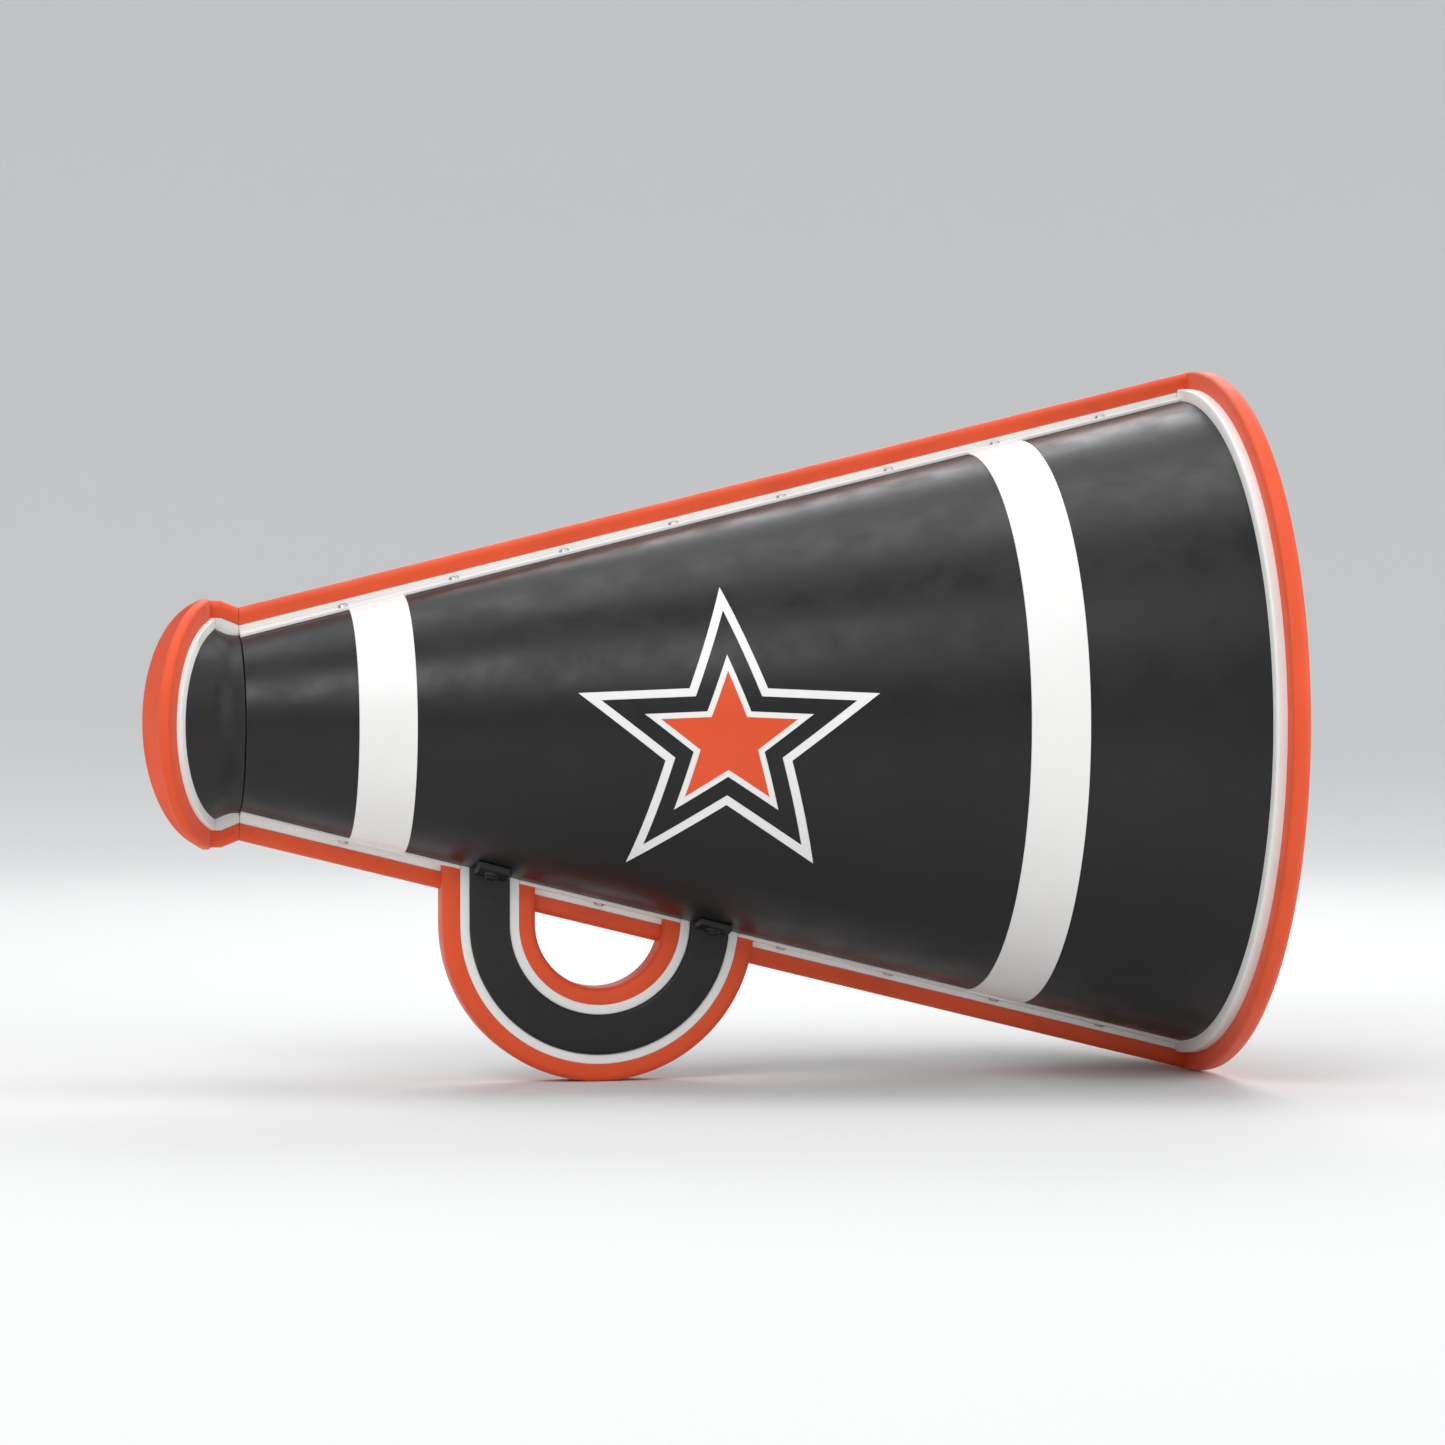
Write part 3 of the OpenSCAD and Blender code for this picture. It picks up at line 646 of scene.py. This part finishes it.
def loop_path(radius, y, height):
    """Path of one point of a cross-section, from the cone behind to the cone in front."""
    def surface(x):
        return -math.sqrt(max(cone_r(x, height) ** 2 - y * y, 0))

    points = [(HANDLE_X - radius, z) for z in steps(surface(HANDLE_X - radius), LOOP_Z, 8)]
    end, leg = front_end(radius, surface)
    near = end + math.radians(5)
    points += [on_loop(radius, a) for a in steps(math.pi, near, 64)[1:]]
    turned = radius * (near - end)
    for s in steps(0, turned + leg, 4)[1:]:
        points.append(on_loop(radius, near - s / radius) if s <= turned
                      else (HANDLE_X + radius, LOOP_Z + s - turned))
    return points


print("points along a loop:", len(loop_path(LOOP_R, 0, 0)))

# %% [markdown]
# The cross-section of each loop is a bar with rounded corners. The orange ones are rounded most, on the
# side that the hand or the floor touches.

# %% Make the loops of the handle
def bar(r0, r1, half_w, round0, round1):
    """Outline of a bar in (radius, across), with rounded corners."""
    return (arc(r1 - round1, half_w - round1, round1, 0, 90, 5)
            + arc(r0 + round0, half_w - round0, round0, 90, 180, 5)
            + arc(r0 + round0, -half_w + round0, round0, 180, 270, 5)
            + arc(r1 - round1, -half_w + round1, round1, 270, 360, 5))


def loop_piece(name, outline, height, node):
    """One loop of the handle, swept along its path."""
    paths = [loop_path(r, y, height) for r, y in outline]
    rows = [[(path[i][0], y, AXIS + path[i][1]) for path, (_, y) in zip(paths, outline)]
            for i in range(len(paths[0]))]
    return piece(name, rows, "horn", node)


SOFT, CRISP = 4 * MM, 0.5 * MM
loop_piece("handle_outer_trim_loop", bar(KEY_R, LOOP_R, LOOP_W, CRISP, SOFT), FLANGE_T,
           "handle_outer_trim")
loop_piece("handle_outer_keyline_loop", bar(CORE_R, KEY_R, LOOP_W, CRISP, CRISP), 0,
           "handle_outer_keyline")
loop_piece("handle_core_loop", bar(CORE_IN_R, CORE_R, CORE_W, 2 * MM, 2 * MM), 0, "handle_core")
loop_piece("handle_inner_keyline_loop", bar(INNER_TRIM_R, CORE_IN_R, LOOP_W, CRISP, CRISP), 0,
           "handle_inner_keyline")
loop_piece("handle_inner_trim_loop", bar(HAND_R, INNER_TRIM_R, LOOP_W, SOFT, CRISP), FLANGE_T,
           "handle_inner_trim")
print("loop radii:", [round(v, 4) for v in (LOOP_R, KEY_R, CORE_R, CORE_IN_R, INNER_TRIM_R, HAND_R)])

# %% [markdown]
# The core has an ear on each side of both feet. The ears are bent to the cone, and the screws pass
# through them. They could be boxes bent by a modifier, but an ear is just a patch of the cone with some
# thickness, so it is made as a short and wide seam strip.

# %% Make the ears of the handle
EAR_T = 3.5 * MM
foot = (CORE_R + CORE_IN_R) / 2
ear_l = (CORE_R - CORE_IN_R) / 2 - 2 * MM
for sign, word in ((-1, "rear"), (1, "front")):
    outline = [(y, EAR_T, False) for y in steps(-EAR_W, EAR_W, 24)]
    outline += [(y, 0.0, False) for y in steps(EAR_W, -EAR_W, 24)]
    middle = HANDLE_X + sign * foot
    seam_strip(f"handle_ear_{word}", outline, middle - ear_l, middle + ear_l, -1, "handle_core",
               1.0 * MM, along=6)
print("ears", round(2 * EAR_W / MM, 1), "mm wide at", round(HANDLE_X - foot, 4), round(HANDLE_X + foot, 4))

# %% [markdown]
# ## The emblem
#
# A plain five-pointed star stands on each side. It has a white outline and, in the middle, a smaller
# orange star with a white border. The stars could be a pattern in the shells' finish, but printed film
# has an edge that catches the light, so they are thin solids. They are drawn flat, as seen from the
# side, and each point is then pushed out onto the round cone. Many small faces give a smooth bend.
#
# The height of a star gives its radius. `STAR_EDGE` is how far a star's edges lie from its middle, for
# a star of radius 1, so it turns the width of the outline into a smaller radius.

# %% Read the sizes of the stars
HALF_TURN = math.radians(36)
INNER = 0.42
STROKE = 4.5 * MM
STAR_EDGE = INNER * math.sin(HALF_TURN) / math.sqrt(1 + INNER ** 2 - 2 * INNER * math.cos(HALF_TURN))


def star_radius(node):
    """Distance from a star's middle to its points."""
    low, high = span(node, Z)
    return (high - low) / (1 + math.cos(HALF_TURN))


STAR_R = star_radius("right_star_outline")
BORDER_R = star_radius("right_star_border")
CENTRE_R = star_radius("right_star_centre")
STAR_X = sum(span("right_star_outline", X)) / 2
STAR_Z = span("right_star_outline", Z)[1] - STAR_R - AXIS
print("star radius", round(STAR_R, 4), "border", round(BORDER_R, 4), "centre", round(CENTRE_R, 4))

# %% [markdown]
# Each star is built as a ring between an outer and an inner outline with the same number of points, so
# that every face is a quad. The orange centre has no hole, so its inner outline is shrunk to a dot.

# %% Make the stars
PER_EDGE = 14
DOT = 0.02 * MM


def star_outline(radius):
    """Corners of a star, with extra points along each edge, as (along, up)."""
    corners = []
    for i in range(10):
        a = math.radians(90 + 36 * i)
        d = radius if i % 2 == 0 else INNER * radius
        corners.append((d * math.cos(a), d * math.sin(a)))
    points = []
    for i in range(10):
        (ax, az), (bx, bz) = corners[i], corners[(i + 1) % 10]
        points += [(ax + (bx - ax) * t / PER_EDGE, az + (bz - az) * t / PER_EDGE) for t in range(PER_EDGE)]
    return points


def star(name, radius, inner_radius, side, node, rings):
    """A star or star-shaped ring, laid on one side of the cone."""
    outer, inner = star_outline(radius), star_outline(inner_radius)
    layers = []
    for height, fractions in ((BAND_T, steps(0, 1, rings)), (-SINK, steps(1, 0, rings))):
        for f in fractions:
            layer = []
            for (ax, az), (bx, bz) in zip(outer, inner):
                x, z = STAR_X + ax + (bx - ax) * f, STAR_Z + az + (bz - az) * f
                layer.append((x, side * math.sqrt(cone_r(x, height) ** 2 - z * z), AXIS + z))
            layers.append(layer)
    rows = [[layer[i] for layer in layers] for i in range(len(outer))]
    return piece(name, rows, "horn", node, 0.15 * MM, looped=True, segments=1)


for side, word in SIDES:
    star(f"{word}_star_outline_film", STAR_R, STAR_R - STROKE / STAR_EDGE, side, f"{word}_star_outline", 2)
    star(f"{word}_star_border_film", BORDER_R, CENTRE_R, side, f"{word}_star_border", 2)
    star(f"{word}_star_centre_film", CENTRE_R, DOT, side, f"{word}_star_centre", 8)
print("points round a star:", 10 * PER_EDGE)

# %% [markdown]
# ## The mouthpiece
#
# The face of the mouthpiece is shaped to a mouth: it falls back from each cheek towards the middle.
# It could be a flat ring bent by a modifier, but the flare must meet it exactly. So `face` gives the
# place of the face for any distance to the side, and the lip, its white keyline and the black flare all
# follow it, each a little deeper than the last. The two slopes meet in a round nose.

# %% Shape the face of the mouthpiece
TIP_X = span("mouthpiece_lip", X)[0]
LIP_R = span("mouthpiece_lip", Y)[1]
FALL_ANGLE = math.radians(25)
FALL = math.tan(FALL_ANGLE)
NOSE_R = 45 * MM
NOSE_Y = NOSE_R * math.sin(FALL_ANGLE)
NOSE_X = FALL * (LIP_R - NOSE_Y) - NOSE_R * math.cos(FALL_ANGLE)


def face(y):
    """Place along the horn of the mouthpiece's face, at a distance to the side."""
    y = abs(y)
    if y < NOSE_Y:
        return TIP_X + NOSE_X + math.sqrt(NOSE_R ** 2 - y ** 2)
    return TIP_X + (LIP_R - y) * FALL


def behind_face(points):
    """Marks the points of an outline as depths behind the contoured face."""
    return [(x, r, True) for x, r in points]


TOP_FACE = face(0)
print("lip radius", round(LIP_R, 4), "face depth", round(TOP_FACE - TIP_X, 4))

# %% [markdown]
# The lip is soft and has rounded edges all round. A sleeve of the black flare reaches into it, which is
# why its inner side has a step. The white keyline is a plain ring between the lip and the flare.

# %% Make the lip and its keyline
KEY_RING_R = span("mouthpiece_keyline", Y)[1]
FLARE_R = span("mouthpiece_body", Y)[1]
MOUTH_R = FLARE_R - 7 * MM
SLEEVE_R = MOUTH_R + 2.5 * MM
SLEEVE_TIP = 3 * MM
LIP_T, KEY_T = 6 * MM, 3 * MM

lip = [(LIP_T, SLEEVE_R), (SLEEVE_TIP, SLEEVE_R), (SLEEVE_TIP, MOUTH_R)]
lip += arc(1.6 * MM, MOUTH_R + 1.6 * MM, 1.6 * MM, 270, 180, 5)
lip += [(0, r) for r in steps(MOUTH_R + 4 * MM, LIP_R - 5 * MM, 6)]
lip += arc(2.2 * MM, LIP_R - 2.2 * MM, 2.2 * MM, 180, 90, 6)
lip += arc(LIP_T - 1.5 * MM, LIP_R - 1.5 * MM, 1.5 * MM, 90, 0, 5)
lip += [(LIP_T, r) for r in steps(LIP_R - 5 * MM, MOUTH_R + 6 * MM, 5)]
lathe("mouthpiece_lip_ring", behind_face(lip), "mouthpiece_lip", "mouthpiece", contour=face)

keyline = [(LIP_T, SLEEVE_R)]
keyline += [(LIP_T, r) for r in steps(MOUTH_R + 4 * MM, KEY_RING_R - 0.5 * MM, 3)]
keyline += [(LIP_T + 0.5 * MM, KEY_RING_R), (LIP_T + KEY_T - 0.5 * MM, KEY_RING_R),
            (LIP_T + KEY_T, KEY_RING_R - 0.5 * MM), (LIP_T + KEY_T, SLEEVE_R)]
lathe("mouthpiece_keyline_ring", behind_face(keyline), "mouthpiece_keyline", "mouthpiece", contour=face)
print("mouth radius", round(MOUTH_R, 4), "lip", round(LIP_T / MM, 1), "mm deep")

# %% [markdown]
# The black flare narrows from the lip to the neck, and a spigot behind it pushes into the neck. A groove
# round the spigot holds the seal. Outside and inside could be two surfaces, but a single outline that
# runs down the outside and back up the inside gives one closed wall.

# %% Make the flare and its spigot
SHOULDER = NECK_X - 0.2 * MM
FLARE_START, FLARE_END = NECK_X - 18 * MM, NECK_X - 3 * MM
THROAT_START = FLARE_START - 8 * MM
BODY_END = span("mouthpiece_body", X)[1]
SPIGOT_R = span("mouthpiece_seal", Y)[1] - 0.25 * MM
THROAT_R = SPIGOT_R - 4 * MM
SEAL_X = sum(span("mouthpiece_seal", X)) / 2
GROOVE_R, GROOVE_HALF = SPIGOT_R - 2.2 * MM, 1.5 * MM


def blend(start, end, t):
    """A smooth step from start to end."""
    return start + (end - start) * (1 - math.cos(math.pi * t)) / 2


flare = behind_face([(LIP_T + KEY_T, FLARE_R)])
flare += [(FLARE_START + (FLARE_END - FLARE_START) * t, blend(FLARE_R, cone_r(NECK_X), t))
          for t in steps(0, 1, 12)]
flare += [(SHOULDER - 0.6 * MM, cone_r(NECK_X)), (SHOULDER, cone_r(NECK_X) - 0.6 * MM), (SHOULDER, SPIGOT_R)]
flare += [(SEAL_X - GROOVE_HALF, SPIGOT_R), (SEAL_X - GROOVE_HALF, GROOVE_R),
          (SEAL_X + GROOVE_HALF, GROOVE_R), (SEAL_X + GROOVE_HALF, SPIGOT_R)]
flare += [(BODY_END - 1 * MM, SPIGOT_R), (BODY_END, SPIGOT_R - 1 * MM), (BODY_END, THROAT_R)]
flare += [(THROAT_START + (FLARE_END - THROAT_START) * t, blend(MOUTH_R, THROAT_R, t))
          for t in steps(1, 0, 14)]
flare += behind_face([(SLEEVE_TIP, MOUTH_R), (SLEEVE_TIP, SLEEVE_R), (LIP_T + KEY_T, SLEEVE_R)])
lathe("mouthpiece_flare_body", flare, "mouthpiece_body", "mouthpiece", contour=face)
print("spigot radius", round(SPIGOT_R, 4), "throat radius", round(THROAT_R, 4))

# %% [markdown]
# Two fins carry the seam's lines across the flare, one above and one below. Each fin is white at its
# foot and orange on top, just like the seam behind it. The seam strips could run on over the flare, but
# the mouthpiece pulls off, so its part of the line must move with it.

# %% Make the fins of the mouthpiece
def fin(name, low, high, half_w, front, crowned, way, node):
    """A fin from the lip back to the neck. A crowned fin has a rounded top."""
    if crowned:
        outline = [(-half_w, low)] + arc(0, high - half_w, half_w, 180, 0, 12) + [(half_w, low)]
    else:
        outline = [(-half_w, low), (-half_w, high), (half_w, high), (half_w, low)]
    bend, back_r = TOP_FACE + LIP_T + 6 * MM, cone_r(NECK_X)
    stations = [(x, FLARE_R, 1.0) for x in steps(front, bend, 3)]
    for t in steps(0, 1, 10)[1:]:
        base, scale = FLARE_R + (back_r - FLARE_R) * t, 1 + (STRETCH - 1) * t
        stations.append((bend + (SHOULDER - bend) * t, base, scale))
    rows = [[(x, y, AXIS + way * (base + h * scale)) for y, h in outline] for x, base, scale in stations]
    return piece(name, rows, "mouthpiece", node, 0.3 * MM)


for way, word in ((1, "top"), (-1, "bottom")):
    fin(f"mouthpiece_fin_{word}", -6 * MM, KEY_H, SPINE_W, TOP_FACE + LIP_T, False, way,
        "mouthpiece_keyline")
    fin(f"mouthpiece_fin_trim_{word}", KEY_H, KEY_H + TRIM_H, TRIM_W, TOP_FACE + 2 * MM, True, way,
        "mouthpiece_lip")
print("fins run from", round(TOP_FACE, 4), "to", round(SHOULDER, 4))

# %% [markdown]
# ## The studio
#
# The megaphone lies on a plain pale floor. A flat floor with a wall behind it would show an edge from
# some sides, so this one is round and curves up into a backdrop all the way round.

# %% Make the backdrop
FLOOR_R, COVE_R = 2.4, 3.2


def paper_finish():
    """Pale paper with a faint cloudiness."""
    mat = bpy.data.materials.new("pale paper")
    mat.use_nodes = True
    tree = mat.node_tree
    shader = tree.nodes["Principled BSDF"]
    clouds = tree.nodes.new("ShaderNodeTexNoise")
    clouds.inputs["Scale"].default_value = 3.0
    tone = add_mix(tree, clouds.outputs["Fac"])
    tone.inputs["A"].default_value = (0.76, 0.76, 0.755, 1)
    tone.inputs["B"].default_value = (0.80, 0.80, 0.795, 1)
    tree.links.new(tone.outputs["Result"], shader.inputs["Base Color"])
    shader.inputs["Roughness"].default_value = 0.85
    return mat


def backdrop():
    """A round floor that curves up into a wall on every side."""
    bm = bmesh.new()
    profile = [(0.6, 0.0), (FLOOR_R, 0.0)] + arc(FLOOR_R, COVE_R, COVE_R, -90, -10, 24)[1:]
    turns = 96
    angles = [2 * math.pi * i / turns for i in range(turns)]
    rings = [[bm.verts.new((r * math.cos(a), r * math.sin(a), z)) for a in angles] for r, z in profile]
    bm.faces.new(rings[0])
    for a, b in zip(rings, rings[1:]):
        for i in range(turns):
            k = (i + 1) % turns
            bm.faces.new((a[i], b[i], b[k], a[k]))
    mesh = bpy.data.meshes.new("backdrop")
    bm.to_mesh(mesh)
    bm.free()
    for polygon in mesh.polygons:
        polygon.use_smooth = True
    obj = bpy.data.objects.new("backdrop", mesh)
    bpy.context.scene.collection.objects.link(obj)
    obj.data.materials.append(paper_finish())
    return obj


backdrop()
print("floor", 2 * FLOOR_R, "m across")

# %% [markdown]
# Black plastic shows its shape only by what it reflects, so bare lamps would leave hard dots on the
# cone. Large soft panels draw long smooth highlights instead. The key hangs in front and to the left, a
# weaker one fills the bell from the right, one hangs above, and a long one behind picks out the top
# edge. The panels are hidden from the camera, so that none shows from any side.

# %% Hang the lights
def softbox(name, place, target, size, power):
    """A rectangular area light aimed at a point."""
    data = bpy.data.lights.new(name, "AREA")
    data.shape = "RECTANGLE"
    data.size, data.size_y = size
    data.energy = power
    lamp = bpy.data.objects.new(name, data)
    lamp.location = place
    lamp.rotation_euler = (Vector(target) - Vector(place)).to_track_quat("-Z", "Y").to_euler()
    lamp.visible_camera = False
    bpy.context.scene.collection.objects.link(lamp)
    return lamp


MIDDLE = Vector(((CAD_LO.x + CAD_HI.x) / 2, 0, AXIS))
softbox("key", (-1.5, -2.2, 2.3), MIDDLE, (1.8, 1.4), 36)
softbox("fill", (2.5, -1.3, 1.1), MIDDLE, (1.6, 1.6), 20)
softbox("top", (0.1, 0.2, 2.6), MIDDLE, (2.6, 1.2), 23)
softbox("back", (0.6, 2.0, 1.7), MIDDLE, (2.0, 0.8), 20)
world = bpy.data.worlds.new("studio")
world.use_nodes = True
sky = world.node_tree.nodes["Background"]
sky.inputs["Color"].default_value = (0.95, 0.97, 1.0, 1)
sky.inputs["Strength"].default_value = 0.62
bpy.context.scene.world = world
bpy.context.scene.view_settings.view_transform = "Standard"

# %% [markdown]
# The camera looks almost level at the side of the horn, from a little round to the mouthpiece's side,
# so that the bands bend towards the bell. A wide lens from close by would make the cone look steeper
# than it is, so a long lens is used from some distance.

# %% Place the camera
AZIMUTH, ELEVATION, DISTANCE = math.radians(-11), math.radians(1), 2.56
SHIFT = 0.02
camera_data = bpy.data.cameras.new("camera")
camera_data.lens = 112
camera_data.sensor_width = 36
camera = bpy.data.objects.new("camera", camera_data)
level = math.cos(ELEVATION)
back = Vector((math.sin(AZIMUTH) * level, -math.cos(AZIMUTH) * level, math.sin(ELEVATION)))
right = Vector((math.cos(AZIMUTH), math.sin(AZIMUTH), 0))
camera.location = MIDDLE + back * DISTANCE + right * SHIFT
camera.rotation_euler = (-back).to_track_quat("-Z", "Y").to_euler()
bpy.context.scene.collection.objects.link(camera)
bpy.context.scene.camera = camera
print("camera at", [round(v, 3) for v in camera.location])
